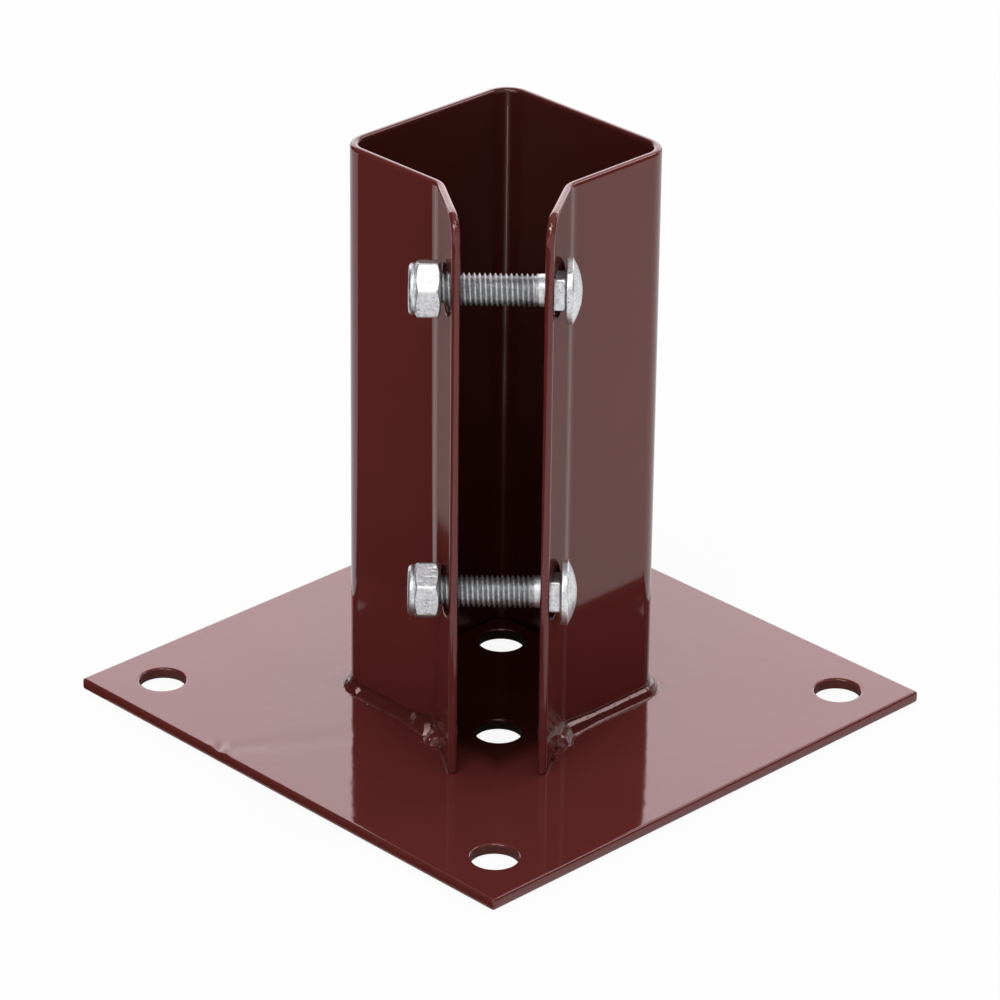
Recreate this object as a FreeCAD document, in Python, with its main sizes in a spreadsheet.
import FreeCAD, Part
import math
import os

import Sketcher
from FreeCAD import Placement, Rotation, Vector

# Timber post base: a square plate with a square sleeve welded on it, for a 50 mm post.
# The sleeve is one folded sheet, open at one corner, where two bolts draw it shut.
#
# Frame: millimetres, +Z up, origin at the centre of the plate's underside, X and Y along
# the plate's edges. The open corner of the sleeve points along the diagonal (+X, -Y).
# The sleeve and its welds are drawn in a frame turned by 45 degrees, with "reach" along
# that diagonal and "side" across it, so that they are symmetrical about side = 0.

os.makedirs("parts", exist_ok=True)
doc = FreeCAD.newDocument("post_base")

# Driving sizes, in millimetres and degrees.
SIZES = [
    ("plate_side", 150, "square base plate, edge to edge"),
    ("plate_thick", 3, "base plate thickness"),
    ("plate_corner", 0.8, "radius of the plate's upright corners"),
    ("plate_edge", 0.5, "rounding that the paint gives the plate's edges"),
    ("anchor_inset", 14.5, "corner hole centre to the two edges beside it"),
    ("anchor_bore", 11.5, "corner hole diameter"),
    ("inner_inset", 9.5, "hole inside the sleeve, centre to the two walls beside it"),
    ("inner_bore", 11.5, "diameter of the holes inside the sleeve"),
    ("hole_edge", 0.3, "bevel at the mouth of each plate hole"),
    ("post_side", 50, "square timber post that the sleeve holds"),
    ("post_play", 1.5, "gap between the post and each wall before clamping"),
    ("sheet", 2.2, "thickness of the folded sheet"),
    ("fold_radius", 5, "inside radius of every fold"),
    ("sleeve_tall", 148, "height of the sleeve above the plate"),
    ("flange_past", 8.8, "flange tip, past the corner where the front walls would meet"),
    ("slot_half", 9.7, "half the slot's width at the flange tips"),
    ("flange_lean", 11, "angle by which each flange leans towards the slot"),
    ("flange_corner", 6.5, "radius of the flange's upper corner"),
    ("flange_land", 1.3, "metal between a bolt hole and the flange tip"),
    ("sheet_edge", 0.35, "rounding that the paint gives the sheet's cut edges"),
    ("bolt_low", 47, "lower bolt, above the plate"),
    ("bolt_down", 21, "upper bolt, below the sleeve's top"),
    ("bolt_dia", 8, "nominal diameter of the bolts"),
    ("bolt_long", 35, "shank length under the head"),
    ("bolt_point", 1, "bevel at the shank's end"),
    ("thread_shy", 0.1, "diameter over the thread, under the nominal one"),
    ("head_dia", 16, "cup head diameter"),
    ("head_rim", 1.6, "height of the head's straight rim"),
    ("head_crown", 2.3, "rise of the head's dome above its rim"),
    ("head_edge", 0.45, "rounding of the rim's edges"),
    ("neck_long", 5, "square neck, below the head"),
    ("neck_edge", 0.6, "rounding of the neck's four edges"),
    ("neck_turn", 6, "turn of both necks about the bolt"),
    ("neck_play", 0.35, "gap between the neck's corners and the hole in the flange"),
    ("nut_wall", 2.5, "wall of the nut at the middle of its flats"),
    ("nut_shy", 0.3, "bearing face and collar, inside the nut's flats"),
    ("nut_hex", 5.9, "length of the nut's hexagon"),
    ("nut_bevel", 30, "angle of the bevels on the hexagon's corners"),
    ("nut_lip", 0.5, "thickness of the lip that holds the insert in"),
    ("nut_hook", 0.3, "reach of that lip over the insert"),
    ("nut_turn_low", 1, "turn of the lower nut about the bolt"),
    ("nut_turn_high", 47, "turn of the upper nut about the bolt"),
    ("thread_play", 0.05, "gap between the shank and the nut's bore"),
    ("insert_wall", 1.5, "wall of the nylon ring in the nut"),
    ("insert_long", 1.2, "length of the nylon ring"),
    ("insert_grip", 0.6, "bore of the nylon ring, under the nominal diameter"),
    ("seat_play", 0.02, "gap where a head or nut meets its flange"),
    ("weld_leg", 3.2, "weld bead, along the wall and along the plate"),
    ("weld_land", 0.5, "flat strip along the bead's two rims"),
    ("weld_wrap", 1, "front bead, past the fold at the sleeve's side"),
    ("weld_on_flange", 4, "front bead, past the fold of the flange"),
    ("weld_gap", 8, "between a front bead and the back bead"),
]

# Sizes that follow from those above. A "face" or "seat" is a distance from the sleeve's axis.
WORKED_OUT = [
    ("anchor_offset", "plate_side / 2 - anchor_inset", "corner hole to both centre lines"),
    ("wall_face", "post_side / 2 + post_play", "inner face of a wall"),
    ("wall_back", "wall_face + sheet", "outer face of a wall"),
    ("inner_offset", "wall_face - inner_inset", "inner hole to both centre lines"),
    ("fold_outside", "fold_radius + sheet", "outside radius of a fold"),
    ("flange_reach", "wall_face * sqrt(2) + flange_past", "sleeve axis to a flange tip"),
    ("flange_face", "flange_reach * sin(flange_lean) + slot_half * cos(flange_lean)",
     "inner face of a flange"),
    ("flange_back", "flange_face + sheet", "outer face of a flange"),
    ("neck_side", "bolt_dia", "square neck, across its flats"),
    ("flange_bore", "neck_side * sqrt(2) + 2 * neck_play", "bolt hole in a flange"),
    ("bolt_reach", "flange_reach - flange_land - flange_bore / 2", "sleeve axis to bolt axis"),
    ("bolt_high", "sleeve_tall - bolt_down", "upper bolt, above the plate"),
    ("shank_dia", "bolt_dia - thread_shy", "shank over its thread"),
    ("head_tall", "head_rim + head_crown", "cup head height"),
    ("head_bearing", "head_dia / 2 - head_edge", "radius of the head's flat underside"),
    ("head_seat", "(flange_back + head_edge - (bolt_reach - head_bearing) * sin(flange_lean))"
     " / cos(flange_lean) - head_edge + seat_play", "underside of a head on its flange"),
    ("nut_flats", "bolt_dia + 2 * nut_wall", "lock nut, across flats"),
    ("nut_round", "nut_flats / 2 - nut_shy", "radius of the nut's bearing face and collar"),
    ("nut_seat", "(flange_back - (bolt_reach - nut_round) * sin(flange_lean))"
     " / cos(flange_lean) + seat_play", "bearing face of a nut on its flange"),
    ("nut_bore", "shank_dia + 2 * thread_play", "bore of the lock nut"),
    ("nut_long", "nut_hex + insert_long + nut_lip", "length of the whole nut"),
    ("insert_bore", "bolt_dia - insert_grip", "bore of the nylon ring"),
    ("insert_dia", "insert_bore + 2 * insert_wall", "outside diameter of the nylon ring"),
    ("nut_mouth", "insert_dia - 2 * nut_hook", "opening inside the nut's lip"),
    ("weld_crown", "weld_leg - weld_land", "radius of the bead's rounded face"),
    ("weld_back_start", "weld_wrap + 2 * weld_leg + weld_gap",
     "side fold to the end of the back bead's straight foot"),
    ("weld_back_run", "2 * (wall_face - fold_radius) - weld_back_start + weld_leg",
     "straight foot of the back bead on one wall"),
]

sheet = doc.addObject("Spreadsheet::Sheet", "sizes")
formulas = [(alias, str(number), note) for alias, number, note in SIZES]
formulas += [(alias, "=" + formula, note) for alias, formula, note in WORKED_OUT]
for row, (alias, content, note) in enumerate(formulas, start=1):
    sheet.set(f"A{row}", note)
    sheet.set(f"B{row}", content)
    sheet.setAlias(f"B{row}", alias)
doc.recompute()
value = {alias: float(sheet.get(alias)) for alias, content, note in formulas}


# Helpers for bodies and sketches. The numbers name an edge's ends and a sketch's own axes.

START, END, MIDDLE = 1, 2, 3
AXIS_X, AXIS_Y = -1, -2
ORIGIN = (-1, 1)

# Lengths in millimetres that differ by less than this are the same.
SAME = 0.001


def near(first, second):
    return abs(first - second) < SAME


def point(x, y):
    return Vector(x, y, 0)


def new_body(name):
    body = doc.addObject("PartDesign::Body", name)
    body.Label = name
    return body


def origin_plane(body, role):
    return next(item for item in body.Origin.OriginFeatures if item.Role == role)


def new_sketch(body, name, role):
    sketch = body.newObject("Sketcher::SketchObject", name)
    sketch.AttachmentSupport = [(origin_plane(body, role), "")]
    sketch.MapMode = "FlatFace"
    return sketch


def dimension(sketch, name, kind, *references, expression):
    """Add a named dimension to a sketch and tie it to the sheet."""
    index = sketch.addConstraint(Sketcher.Constraint(kind, *references))
    sketch.renameConstraint(index, name)
    sketch.setExpression(f"Constraints.{name}", expression)


def from_origin(sketch, name, direction, edge, position, expression):
    """Hold an end or the centre of an edge at an X or Y distance from the origin."""
    spot = sketch.getPoint(edge, position)
    distance = spot.x if direction == "X" else spot.y
    kind = f"Distance{direction}"
    dimension(sketch, name, kind, *ORIGIN, edge, position, distance, expression=expression)


def from_axis(sketch, name, line, alias):
    """Hold a line at a distance from the sketch's origin."""
    distance = value[alias]
    dimension(sketch, name, "Distance", *ORIGIN, line, distance, expression=f"sizes.{alias}")


def length(sketch, name, line, expression):
    size = sketch.Geometry[line].length()
    dimension(sketch, name, "Distance", line, size, expression=expression)


def radius(sketch, name, arc, expression):
    size = sketch.Geometry[arc].Radius
    dimension(sketch, name, "Radius", arc, size, expression=expression)


def level(sketch, *lines):
    for line in lines:
        sketch.addConstraint(Sketcher.Constraint("Horizontal", line))


def upright(sketch, *lines):
    for line in lines:
        sketch.addConstraint(Sketcher.Constraint("Vertical", line))


def relate(sketch, kind, first, second):
    sketch.addConstraint(Sketcher.Constraint(kind, first, second))


def same_centre(sketch, first, second):
    sketch.addConstraint(Sketcher.Constraint("Coincident", first, MIDDLE, second, MIDDLE))


def put_on(sketch, edge, position, other):
    sketch.addConstraint(Sketcher.Constraint("PointOnObject", edge, position, other))


def add_line(sketch, start, end):
    return sketch.addGeometry(Part.LineSegment(start, end), False)


def add_arc(sketch, centre, size, first, last):
    """Add an arc that runs counter-clockwise between two angles in degrees."""
    circle = Part.Circle(centre, Vector(0, 0, 1), size)
    arc = Part.ArcOfCircle(circle, math.radians(first), math.radians(last))
    return sketch.addGeometry(arc, False)


def meeting_ends(sketch, first, second):
    """The end of each of two edges that lies where they meet."""
    pairs = [(one, other) for one in (START, END) for other in (START, END)]
    gaps = [
        (sketch.getPoint(first, one) - sketch.getPoint(second, other)).Length
        for one, other in pairs
    ]
    return pairs[gaps.index(min(gaps))]


def draw_outline(sketch, edges, sharp=()):
    """Draw a closed outline and join each edge to the next, smoothly but for the sharp ones.

    edges is {name: ("line", start, end) or ("arc", centre, radius, first, last)} in order,
    and sharp names those that end in a corner. Returns each edge's number by its name.
    """
    drawn = {}
    for name, (kind, *shape) in edges.items():
        drawn[name] = add_line(sketch, *shape) if kind == "line" else add_arc(sketch, *shape)
    names = list(drawn)
    for name, following in zip(names, names[1:] + names[:1]):
        first, second = drawn[name], drawn[following]
        first_end, second_end = meeting_ends(sketch, first, second)
        joint = "Coincident" if name in sharp else "Tangent"
        sketch.addConstraint(Sketcher.Constraint(joint, first, first_end, second, second_end))
    return drawn


def draw_polygon(sketch, corners):
    """Draw straight edges from corner to corner, given as {edge's name: its first corner}."""
    names = list(corners)
    ends = names[1:] + names[:1]
    edges = {name: ("line", corners[name], corners[end]) for name, end in zip(names, ends)}
    return draw_outline(sketch, edges, sharp=names)


def draw_square(sketch, alias):
    """Draw a square about the origin, its side taken from the sheet."""
    half = value[alias] / 2
    sides = draw_polygon(sketch, {
        "front": point(-half, -half),
        "right": point(half, -half),
        "back": point(half, half),
        "left": point(-half, half),
    })
    level(sketch, sides["front"], sides["back"])
    upright(sketch, sides["left"], sides["right"])
    relate(sketch, "Equal", sides["front"], sides["right"])
    centred = ("Symmetric", sides["front"], START, sides["back"], START, *ORIGIN)
    sketch.addConstraint(Sketcher.Constraint(*centred))
    length(sketch, "side", sides["front"], f"sizes.{alias}")


def draw_bore(sketch, name, across, along, bore):
    """Draw a circle, its centre's X and Y and its diameter taken from the sheet."""
    centre = point(value[across], value[along])
    bore_circle = Part.Circle(centre, Vector(0, 0, 1), value[bore] / 2)
    circle = sketch.addGeometry(bore_circle, False)
    from_origin(sketch, f"{name}_x", "X", circle, MIDDLE, f"sizes.{across}")
    from_origin(sketch, f"{name}_y", "Y", circle, MIDDLE, f"sizes.{along}")
    diameter = value[bore]
    dimension(sketch, f"{name}_bore", "Diameter", circle, diameter, expression=f"sizes.{bore}")


# Helpers for features.

def add_pad(body, name, sketch, expression, downwards=False):
    pad = body.newObject("PartDesign::Pad", name)
    pad.Profile = sketch
    pad.Reversed = downwards
    pad.setExpression("Length", expression)
    return pad


def cut_through(body, name, sketch):
    pocket = body.newObject("PartDesign::Pocket", name)
    pocket.Profile = sketch
    pocket.Type = "ThroughAll"
    return pocket


def turn_about_z(body, name, kind, sketch):
    """Revolve or groove with a sketch of the XZ plane, about the body's own Z axis."""
    feature = body.newObject(kind, name)
    feature.Profile = sketch
    feature.ReferenceAxis = (sketch, ["V_Axis"])
    feature.Angle = 360
    return feature


def add_cylinder(body, name, kind, diameter, height, base="0"):
    """Add or cut a cylinder about the body's Z axis, from expressions for its sizes."""
    cylinder = body.newObject(f"PartDesign::{kind}Cylinder", name)
    cylinder.setExpression("Radius", f"{diameter} / 2")
    cylinder.setExpression("Height", height)
    cylinder.setExpression("Placement.Base.z", base)
    return cylinder


def edges_of(feature, test):
    """Names of the feature's edges that pass a test of their middle point and of themselves."""
    doc.recompute()
    names = []
    for number, edge in enumerate(feature.Shape.Edges, start=1):
        middle = edge.valueAt((edge.FirstParameter + edge.LastParameter) / 2)
        if test(middle, edge):
            names.append(f"Edge{number}")
    return names


def round_edges(body, name, base, edges, expression):
    fillet = body.newObject("PartDesign::Fillet", name)
    fillet.Base = (base, edges)
    fillet.setExpression("Radius", expression)
    return fillet


def bevel_edges(body, name, base, edges, expression):
    chamfer = body.newObject("PartDesign::Chamfer", name)
    chamfer.Base = (base, edges)
    chamfer.setExpression("Size", expression)
    return chamfer


# Plan of the sleeve for its side > 0 half, as reach and side. An "along" direction follows
# the sheet from the back fold to the flange's tip, and an "out" direction leaves the post.

COS_45 = math.sqrt(0.5)
wall_face = value["wall_face"]
sheet_thick = value["sheet"]
fold_in = value["fold_radius"]
fold_out = value["fold_outside"]
leg = value["weld_leg"]
lean = math.radians(value["flange_lean"])

back_along = point(COS_45, COS_45)
back_out = point(-COS_45, COS_45)
front_out = point(COS_45, COS_45)
flange_along = point(math.cos(lean), -math.sin(lean))
flange_out = point(math.sin(lean), math.cos(lean))

# Where each "out" direction points, in degrees counter-clockwise from the slot.
BACK_OUT, FRONT_OUT, FLANGE_OUT = 135, 45, 90 - value["flange_lean"]


def crossing(normal_a, distance_a, normal_b, distance_b):
    """The point that lies at given distances along two directions."""
    scale = normal_a.x * normal_b.y - normal_a.y * normal_b.x
    x = (distance_a * normal_b.y - distance_b * normal_a.y) / scale
    y = (distance_b * normal_a.x - distance_a * normal_b.x) / scale
    return point(x, y)


tip = point(value["flange_reach"], value["slot_half"])
back_centre = point(-(wall_face - fold_in) / COS_45, 0)
side_centre = point(0, (wall_face - fold_in) / COS_45)
flange_centre = crossing(
    front_out, wall_face + fold_out, flange_out, value["flange_face"] + fold_out
)


def turn_to_slot(body):
    """Stand a body on the plate, in the sleeve's own frame."""
    body.Placement = Placement(Vector(0, 0, 0), Rotation(Vector(0, 0, 1), -45))
    body.setExpression("Placement.Base.z", "sizes.plate_thick")


# Base plate: a square plate with rounded corners and eight bored holes.

def make_base_plate():
    body = new_body("base_plate")
    thick = value["plate_thick"]
    outline = new_sketch(body, "plate_outline", "XY_Plane")
    draw_square(outline, "plate_side")
    blank = add_pad(body, "plate_blank", outline, "sizes.plate_thick")

    uprights = edges_of(blank, lambda middle, edge: near(middle.z, thick / 2))
    cornered = round_edges(body, "plate_corners", blank, uprights, "sizes.plate_corner")
    rims = edges_of(cornered, lambda middle, edge: near(middle.z, 0) or near(middle.z, thick))
    round_edges(body, "plate_edges", cornered, rims, "sizes.plate_edge")

    centres = new_sketch(body, "hole_centres", "XY_Plane")
    draw_bore(centres, "anchor", "anchor_offset", "anchor_offset", "anchor_bore")
    draw_bore(centres, "inner", "inner_offset", "inner_offset", "inner_bore")
    bored = cut_through(body, "holes_bored", centres)
    bored.Reversed = True
    doc.recompute()

    ring = body.newObject("PartDesign::PolarPattern", "holes_all_round")
    ring.Originals = [bored]
    ring.Axis = (centres, ["N_Axis"])
    ring.Angle = 360
    ring.Occurrences = 4
    body.Tip = ring

    def is_mouth(middle, edge):
        on_face = near(middle.z, 0) or near(middle.z, thick)
        return on_face and len(edge.Vertexes) == 1

    bevel_edges(body, "hole_mouths", ring, edges_of(ring, is_mouth), "sizes.hole_edge")
    return body


# Post sleeve: one sheet folded three times round the post and twice into clamp flanges.

def draw_sheet_half(sketch):
    """Draw the side > 0 half of the folded sheet's section, back fold to flange tip."""
    tip_out = tip + flange_out * sheet_thick
    sheet_edges = draw_outline(sketch, {
        "back_in": ("arc", back_centre, fold_in, BACK_OUT, 180),
        "back_wall": (
            "line", back_centre + back_out * fold_in, side_centre + back_out * fold_in
        ),
        "side_in": ("arc", side_centre, fold_in, FRONT_OUT, BACK_OUT),
        "front_wall": (
            "line", side_centre + front_out * fold_in, flange_centre - front_out * fold_out
        ),
        "bend_in": ("arc", flange_centre, fold_out, FRONT_OUT + 180, FLANGE_OUT + 180),
        "flange_in": ("line", flange_centre - flange_out * fold_out, tip),
        "tip": ("line", tip, tip_out),
        "flange_outside": ("line", tip_out, flange_centre - flange_out * fold_in),
        "bend_out": ("arc", flange_centre, fold_in, FRONT_OUT + 180, FLANGE_OUT + 180),
        "front_back": (
            "line", flange_centre - front_out * fold_in, side_centre + front_out * fold_out
        ),
        "side_out": ("arc", side_centre, fold_out, FRONT_OUT, BACK_OUT),
        "back_back": (
            "line", side_centre + back_out * fold_out, back_centre + back_out * fold_out
        ),
        "back_out": ("arc", back_centre, fold_out, BACK_OUT, 180),
        "middle": ("line", back_centre - point(fold_out, 0), back_centre - point(fold_in, 0)),
    }, sharp=("flange_in", "tip", "back_out", "middle"))

    for fold in ("back", "side", "bend"):
        same_centre(sketch, sheet_edges[f"{fold}_in"], sheet_edges[f"{fold}_out"])
    for name, position in (("back_in", MIDDLE), ("back_in", END), ("back_out", END)):
        put_on(sketch, sheet_edges[name], position, AXIS_X)
    put_on(sketch, sheet_edges["side_in"], MIDDLE, AXIS_Y)
    relate(sketch, "Perpendicular", sheet_edges["back_wall"], sheet_edges["front_wall"])
    relate(sketch, "Perpendicular", sheet_edges["tip"], sheet_edges["flange_in"])
    relate(sketch, "Parallel", sheet_edges["flange_in"], sheet_edges["flange_outside"])

    from_axis(sketch, "back_wall", sheet_edges["back_wall"], "wall_face")
    from_axis(sketch, "front_wall", sheet_edges["front_wall"], "wall_face")
    for name in ("back_in", "side_in", "bend_out"):
        radius(sketch, f"{name}_radius", sheet_edges[name], "sizes.fold_radius")
    for name in ("back_out", "side_out", "bend_in"):
        radius(sketch, f"{name}_radius", sheet_edges[name], "sizes.fold_outside")
    from_origin(sketch, "tip_reach", "X", sheet_edges["flange_in"], END, "sizes.flange_reach")
    from_origin(sketch, "tip_side", "Y", sheet_edges["flange_in"], END, "sizes.slot_half")
    leaning = "-1 deg * sizes.flange_lean"
    dimension(sketch, "lean", "Angle", sheet_edges["flange_in"], -lean, expression=leaning)


def make_post_sleeve():
    body = new_body("post_sleeve")
    turn_to_slot(body)
    tall = value["sleeve_tall"]
    section = new_sketch(body, "sheet_half", "XY_Plane")
    draw_sheet_half(section)
    half = add_pad(body, "sheet_half_raised", section, "sizes.sleeve_tall")
    doc.recompute()

    whole = body.newObject("PartDesign::Mirrored", "sheet_folded")
    whole.Originals = [half]
    whole.MirrorPlane = (origin_plane(body, "XZ_Plane"), [""])
    body.Tip = whole

    def is_tip_corner(middle, edge):
        across_sheet = near(edge.Length, sheet_thick) and middle.x > tip.x - sheet_thick
        return across_sheet and near(middle.z, tall)

    corners = edges_of(whole, is_tip_corner)
    cornered = round_edges(body, "flange_corners", whole, corners, "sizes.flange_corner")

    def is_cut_edge(middle, edge):
        if near(middle.z, 0) or near(edge.Length, sheet_thick):
            return False
        at_tip = near(flange_along.dot(point(middle.x, abs(middle.y)) - tip), 0)
        past_start = middle.x > tip.x - value["flange_corner"]
        in_corner = past_start and middle.z > tall - value["flange_corner"]
        return near(middle.z, tall) or at_tip or in_corner

    cut_edges = edges_of(cornered, is_cut_edge)
    round_edges(body, "sheet_edges", cornered, cut_edges, "sizes.sheet_edge")

    holes = new_sketch(body, "bolt_holes", "XZ_Plane")
    draw_bore(holes, "low", "bolt_reach", "bolt_low", "flange_bore")
    draw_bore(holes, "high", "bolt_reach", "bolt_high", "flange_bore")
    drilled = cut_through(body, "bolt_holes_drilled", holes)
    drilled.SideType = "Symmetric"
    return body


# Weld beads: each is a rounded fillet of weld along the sleeve's foot with round noses.

def crown_bead(body, outline, wall_edges):
    """Raise a bead's outline by its leg and round it over, but for the edges on the wall."""
    raised = add_pad(body, f"{body.Label}_raised", outline, "sizes.weld_leg")
    on_wall = []
    for index in wall_edges:
        curve = outline.Geometry[index]
        on_wall.append(curve.value((curve.FirstParameter + curve.LastParameter) / 2))

    def is_crown(middle, edge):
        flat = point(middle.x, middle.y)
        return near(middle.z, leg) and all((flat - spot).Length > SAME for spot in on_wall)

    crown = edges_of(raised, is_crown)
    round_edges(body, f"{body.Label}_crown", raised, crown, "sizes.weld_crown")


def make_front_weld():
    """The side > 0 front bead: round the side fold, along the wall and onto the flange."""
    body = new_body("weld_front_right")
    turn_to_slot(body)
    sketch = new_sketch(body, "front_bead", "XY_Plane")
    back_end = side_centre + back_out * fold_out - back_along * value["weld_wrap"]
    flange_end = flange_centre - flange_out * fold_in + flange_along * value["weld_on_flange"]
    rim = fold_out + leg
    bend_rim = fold_in - leg
    bead = draw_outline(sketch, {
        "back_wall": ("line", back_end - back_along * leg, side_centre + back_out * fold_out),
        "side_fold": ("arc", side_centre, fold_out, FRONT_OUT, BACK_OUT),
        "front_wall": (
            "line", side_centre + front_out * fold_out, flange_centre - front_out * fold_in
        ),
        "bend": ("arc", flange_centre, fold_in, FRONT_OUT + 180, FLANGE_OUT + 180),
        "flange": (
            "line", flange_centre - flange_out * fold_in, flange_end + flange_along * leg
        ),
        "flange_nose": ("arc", flange_end, leg, FLANGE_OUT - 90, FLANGE_OUT),
        "flange_rim": (
            "line", flange_end + flange_out * leg, flange_centre - flange_out * bend_rim
        ),
        "bend_rim": ("arc", flange_centre, bend_rim, FRONT_OUT + 180, FLANGE_OUT + 180),
        "front_rim": (
            "line", flange_centre - front_out * bend_rim, side_centre + front_out * rim
        ),
        "side_rim": ("arc", side_centre, rim, FRONT_OUT, BACK_OUT),
        "back_rim": ("line", side_centre + back_out * rim, back_end + back_out * leg),
        "back_nose": ("arc", back_end, leg, BACK_OUT, BACK_OUT + 90),
    }, sharp=("flange", "back_nose"))

    same_centre(sketch, bead["side_fold"], bead["side_rim"])
    same_centre(sketch, bead["bend"], bead["bend_rim"])
    put_on(sketch, bead["side_fold"], MIDDLE, AXIS_Y)
    put_on(sketch, bead["back_nose"], MIDDLE, bead["back_wall"])
    put_on(sketch, bead["flange_nose"], MIDDLE, bead["flange"])
    relate(sketch, "Perpendicular", bead["back_wall"], bead["front_wall"])
    from_axis(sketch, "back_wall", bead["back_wall"], "wall_back")
    from_axis(sketch, "front_wall", bead["front_wall"], "wall_back")
    from_axis(sketch, "flange", bead["flange"], "flange_back")
    leaning = "-1 deg * sizes.flange_lean"
    dimension(sketch, "lean", "Angle", bead["flange"], -lean, expression=leaning)
    radius(sketch, "side_fold", bead["side_fold"], "sizes.fold_outside")
    radius(sketch, "side_rim", bead["side_rim"], "sizes.fold_outside + sizes.weld_leg")
    radius(sketch, "bend", bead["bend"], "sizes.fold_radius")
    radius(sketch, "bend_rim", bead["bend_rim"], "sizes.fold_radius - sizes.weld_leg")
    for nose in ("back_nose", "flange_nose"):
        radius(sketch, nose, bead[nose], "sizes.weld_leg")
    length(sketch, "wrap", bead["back_wall"], "sizes.weld_wrap + sizes.weld_leg")
    length(sketch, "on_flange", bead["flange"], "sizes.weld_on_flange + sizes.weld_leg")
    walls = ("back_wall", "side_fold", "front_wall", "bend", "flange")
    crown_bead(body, sketch, [bead[name] for name in walls])
    return body


def make_back_weld():
    """The back bead, along both back walls and round the back fold."""
    body = new_body("weld_back")
    turn_to_slot(body)
    sketch = new_sketch(body, "back_bead", "XY_Plane")

    def across(spot):
        return point(spot.x, -spot.y)

    rim = fold_out + leg
    far_out = 360 - BACK_OUT
    end = side_centre + back_out * fold_out - back_along * value["weld_back_start"]
    foot_start = back_centre + back_out * fold_out
    rim_start = back_centre + back_out * rim
    bead = draw_outline(sketch, {
        "wall": ("line", end + back_along * leg, foot_start),
        "fold": ("arc", back_centre, fold_out, BACK_OUT, far_out),
        "far_wall": ("line", across(foot_start), across(end + back_along * leg)),
        "far_nose": ("arc", across(end), leg, far_out, far_out + 90),
        "far_rim": ("line", across(end + back_out * leg), across(rim_start)),
        "fold_rim": ("arc", back_centre, rim, BACK_OUT, far_out),
        "rim": ("line", rim_start, end + back_out * leg),
        "nose": ("arc", end, leg, BACK_OUT - 90, BACK_OUT),
    }, sharp=("far_wall", "nose"))

    same_centre(sketch, bead["fold"], bead["fold_rim"])
    put_on(sketch, bead["fold"], MIDDLE, AXIS_X)
    put_on(sketch, bead["nose"], MIDDLE, bead["wall"])
    put_on(sketch, bead["far_nose"], MIDDLE, bead["far_wall"])
    relate(sketch, "Perpendicular", bead["wall"], bead["far_wall"])
    relate(sketch, "Equal", bead["wall"], bead["far_wall"])
    from_axis(sketch, "wall", bead["wall"], "wall_back")
    from_axis(sketch, "far_wall", bead["far_wall"], "wall_back")
    radius(sketch, "fold", bead["fold"], "sizes.fold_outside")
    radius(sketch, "fold_rim", bead["fold_rim"], "sizes.fold_outside + sizes.weld_leg")
    for nose in ("nose", "far_nose"):
        radius(sketch, nose, bead[nose], "sizes.weld_leg")
    length(sketch, "run", bead["wall"], "sizes.weld_back_run")
    crown_bead(body, sketch, [bead[name] for name in ("wall", "fold", "far_wall")])
    return body


def make_left_weld(right):
    """The side < 0 front bead, mirrored from the other one."""
    mirrored = doc.addObject("Part::Mirroring", "weld_front_left")
    mirrored.Label = "weld_front_left"
    mirrored.Source = right
    mirrored.Normal = Vector(1, 1, 0)
    return mirrored


# Bolts and lock nuts. Each is drawn about its own Z axis, then laid across the slot.

REACH = Vector(1, -1, 0).normalize()
SIDE = Vector(1, 1, 0).normalize()
UP = Vector(0, 0, 1)
NUT_SIDES = 6


def lay_across(body, axis, turn, seat, height):
    """Lay a body's Z axis along or against SIDE, turned so many degrees about it."""
    angle = math.radians(turn)
    face = REACH * math.cos(angle) + UP * math.sin(angle)
    body.Placement = Placement(Vector(), Rotation(face, Vector(), axis, "ZXY"))
    away = axis.dot(SIDE)
    body.setExpression(
        "Placement.Base.x", f"(sizes.bolt_reach + {away:.0f} * {seat}) * sqrt(0.5)"
    )
    body.setExpression(
        "Placement.Base.y", f"(-sizes.bolt_reach + {away:.0f} * {seat}) * sqrt(0.5)"
    )
    body.setExpression("Placement.Base.z", f"sizes.plate_thick + {height}")


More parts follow.
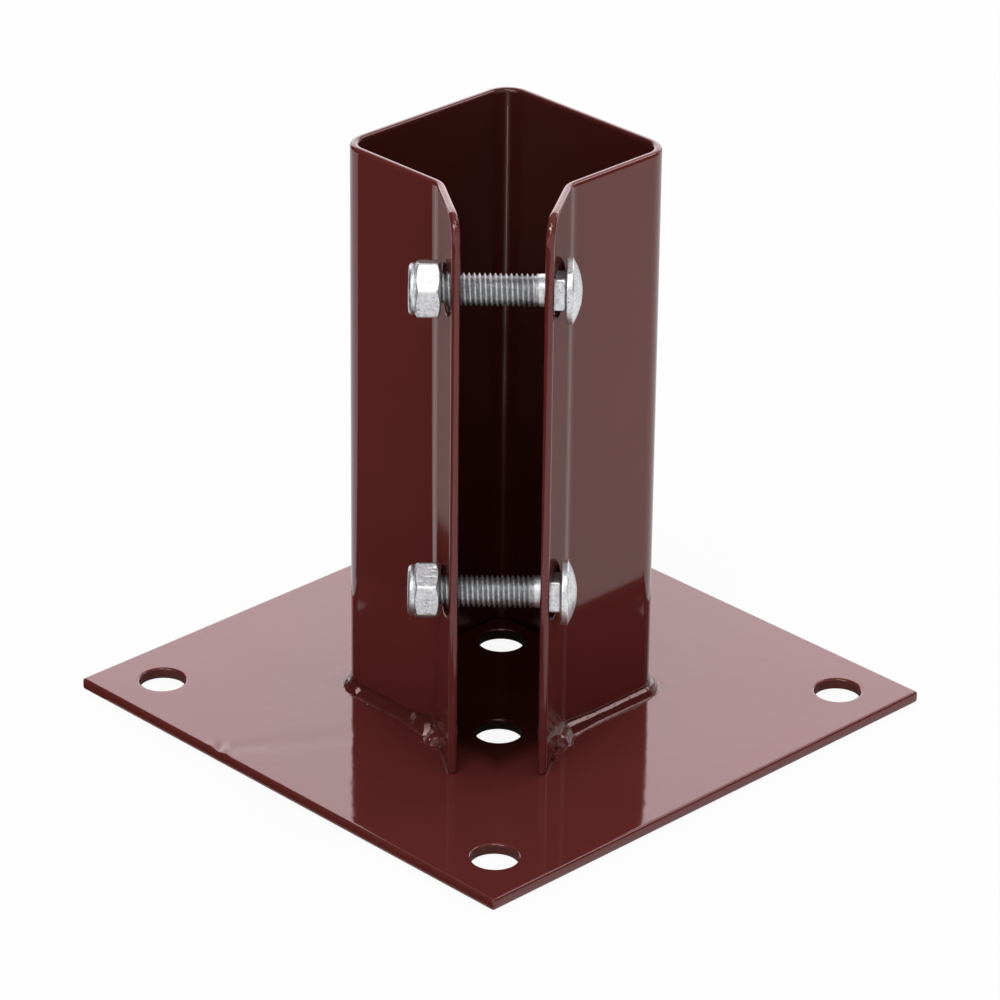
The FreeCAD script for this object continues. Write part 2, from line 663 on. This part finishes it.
def draw_bolt_section(sketch):
    """Half section of a cup-head bolt: underside of the head at height 0, shank below."""
    shank = value["shank_dia"] / 2
    end = -value["bolt_long"]
    bevel = value["bolt_point"]
    rim = value["head_dia"] / 2
    crown = value["head_crown"]
    top = point(0, value["head_tall"])
    dome = (rim**2 + crown**2) / (2 * crown)
    rim_angle = 90 - math.degrees(math.asin(rim / dome))
    bolt = draw_outline(sketch, {
        "tail": ("line", point(0, end), point(shank - bevel, end)),
        "bevel": ("line", point(shank - bevel, end), point(shank, end + bevel)),
        "shank": ("line", point(shank, end + bevel), point(shank, 0)),
        "under": ("line", point(shank, 0), point(rim, 0)),
        "rim": ("line", point(rim, 0), point(rim, value["head_rim"])),
        "dome": ("arc", top - point(0, dome), dome, rim_angle, 90),
        "axis": ("line", top, point(0, end)),
    }, sharp=("tail", "bevel", "shank", "under", "rim", "dome", "axis"))

    level(sketch, bolt["tail"], bolt["under"])
    upright(sketch, bolt["shank"], bolt["rim"])
    put_on(sketch, bolt["axis"], START, AXIS_Y)
    put_on(sketch, bolt["axis"], END, AXIS_Y)
    put_on(sketch, bolt["dome"], MIDDLE, AXIS_Y)
    put_on(sketch, bolt["under"], START, AXIS_X)
    from_origin(sketch, "shank", "X", bolt["shank"], END, "sizes.shank_dia / 2")
    from_origin(sketch, "tail", "Y", bolt["tail"], START, "-sizes.bolt_long")
    from_origin(
        sketch, "bevel_in", "X", bolt["tail"], END, "sizes.shank_dia / 2 - sizes.bolt_point"
    )
    from_origin(
        sketch, "bevel_up", "Y", bolt["shank"], START, "-sizes.bolt_long + sizes.bolt_point"
    )
    from_origin(sketch, "rim", "X", bolt["under"], END, "sizes.head_dia / 2")
    from_origin(sketch, "rim_top", "Y", bolt["rim"], END, "sizes.head_rim")
    from_origin(sketch, "crown", "Y", bolt["axis"], START, "sizes.head_tall")


def make_bolt(name, height):
    """Cup-head bolt with a square neck, its underside at height 0 of its own axis."""
    body = new_body(name)
    section = new_sketch(body, f"{name}_section", "XZ_Plane")
    draw_bolt_section(section)
    turned = turn_about_z(body, f"{name}_turned", "PartDesign::Revolution", section)
    rim = value["head_dia"] / 2

    def is_rim(middle, edge):
        return near(math.hypot(middle.x, middle.y), rim) and len(edge.Vertexes) == 1

    rims = edges_of(turned, is_rim)
    round_edges(body, f"{name}_rim", turned, rims, "sizes.head_edge")

    square = new_sketch(body, f"{name}_neck", "XY_Plane")
    draw_square(square, "neck_side")
    neck = add_pad(body, f"{name}_neck_raised", square, "sizes.neck_long", downwards=True)
    corner = value["neck_side"] * COS_45

    def is_neck_corner(middle, edge):
        halfway_down = near(middle.z, -value["neck_long"] / 2)
        return halfway_down and near(math.hypot(middle.x, middle.y), corner)

    uprights = edges_of(neck, is_neck_corner)
    round_edges(body, f"{name}_neck_edges", neck, uprights, "sizes.neck_edge")
    lay_across(body, SIDE, value["neck_turn"], "sizes.head_seat", f"sizes.{height}")
    return body


def draw_nut_bevels(sketch):
    """Two triangles that, turned about Z, bevel the hexagon's corners at both ends."""
    inner, outer = value["nut_round"], value["nut_flats"]
    slope = math.tan(math.radians(value["nut_bevel"]))
    for name, end, inwards in (("bearing", 0, 1), ("collar", value["nut_hex"], -1)):
        rise = inwards * (outer - inner) * slope
        bevel = draw_polygon(sketch, {
            f"{name}_flat": point(inner, end),
            f"{name}_upright": point(outer, end),
            f"{name}_slope": point(outer, end + rise),
        })
        flat = bevel[f"{name}_flat"]
        outside = bevel[f"{name}_upright"]
        level(sketch, flat)
        upright(sketch, outside)
        from_origin(sketch, f"{name}_in", "X", flat, START, "sizes.nut_round")
        from_origin(sketch, f"{name}_out", "X", flat, END, "sizes.nut_flats")
        if end:
            from_origin(sketch, f"{name}_end", "Y", flat, START, "sizes.nut_hex")
        else:
            put_on(sketch, flat, START, AXIS_X)
        rule = f"{inwards} * (sizes.nut_flats - sizes.nut_round) * tan(sizes.nut_bevel)"
        upward = ("DistanceY", outside, START, outside, END, rise)
        dimension(sketch, f"{name}_rise", *upward, expression=rule)


def make_nut(name, height, turn):
    """Lock nut: a bevelled hexagon with a rolled collar, bearing face at height 0."""
    body = new_body(name)
    hexagon = body.newObject("PartDesign::AdditivePrism", f"{name}_hexagon")
    hexagon.Polygon = NUT_SIDES
    hexagon.setExpression("Circumradius", "sizes.nut_flats / sqrt(3)")
    hexagon.setExpression("Height", "sizes.nut_hex")
    doc.recompute()
    bevels = new_sketch(body, f"{name}_bevels", "XZ_Plane")
    draw_nut_bevels(bevels)
    turn_about_z(body, f"{name}_bevelled", "PartDesign::Groove", bevels)
    doc.recompute()
    collar = add_cylinder(
        body, f"{name}_collar", "Additive", "(2 * sizes.nut_round)", "sizes.nut_long"
    )
    rolled = edges_of(collar, lambda middle, edge: near(middle.z, value["nut_long"]))
    round_edges(body, f"{name}_rolled_rim", collar, rolled, "2 * sizes.nut_lip")
    add_cylinder(body, f"{name}_bore", "Subtractive", "sizes.nut_bore", "sizes.nut_long")
    add_cylinder(
        body, f"{name}_seat", "Subtractive", "sizes.insert_dia", "sizes.insert_long",
        "sizes.nut_hex",
    )
    add_cylinder(
        body, f"{name}_mouth", "Subtractive", "sizes.nut_mouth", "sizes.nut_lip",
        "sizes.nut_long - sizes.nut_lip",
    )
    # The prism has a corner where the turn is measured from, half a side away from a flat.
    corner_turn = value[turn] - 180 / NUT_SIDES
    lay_across(body, -SIDE, corner_turn, "sizes.nut_seat", f"sizes.{height}")
    return body


def make_insert(name, height):
    """Nylon ring under the nut's lip."""
    body = new_body(name)
    add_cylinder(body, f"{name}_ring", "Additive", "sizes.insert_dia", "sizes.insert_long")
    add_cylinder(body, f"{name}_bore", "Subtractive", "sizes.insert_bore", "sizes.insert_long")
    seat = "(sizes.nut_seat + sizes.nut_hex)"
    lay_across(body, -SIDE, 0, seat, f"sizes.{height}")
    return body


front_weld = make_front_weld()
nodes = [
    make_base_plate(),
    make_post_sleeve(),
    front_weld,
    make_left_weld(front_weld),
    make_back_weld(),
    make_bolt("carriage_bolt_lower", "bolt_low"),
    make_bolt("carriage_bolt_upper", "bolt_high"),
    make_nut("lock_nut_lower", "bolt_low", "nut_turn_low"),
    make_nut("lock_nut_upper", "bolt_high", "nut_turn_high"),
    make_insert("nut_insert_lower", "bolt_low"),
    make_insert("nut_insert_upper", "bolt_high"),
]
doc.recompute()

failed = [item.Name for item in doc.Objects if {"Invalid", "Error"} & set(item.State)]
failed += [node.Label for node in nodes if node.Shape.isNull() or not node.Shape.isValid()]
if failed:
    raise RuntimeError(f"these did not build: {failed}")
for node in nodes:
    solids = len(node.Shape.Solids)
    print(f"{node.Label}: {solids} solid, {node.Shape.Volume:.1f} cubic mm")
    node.Shape.exportStep(f"parts/{node.Label}.step")
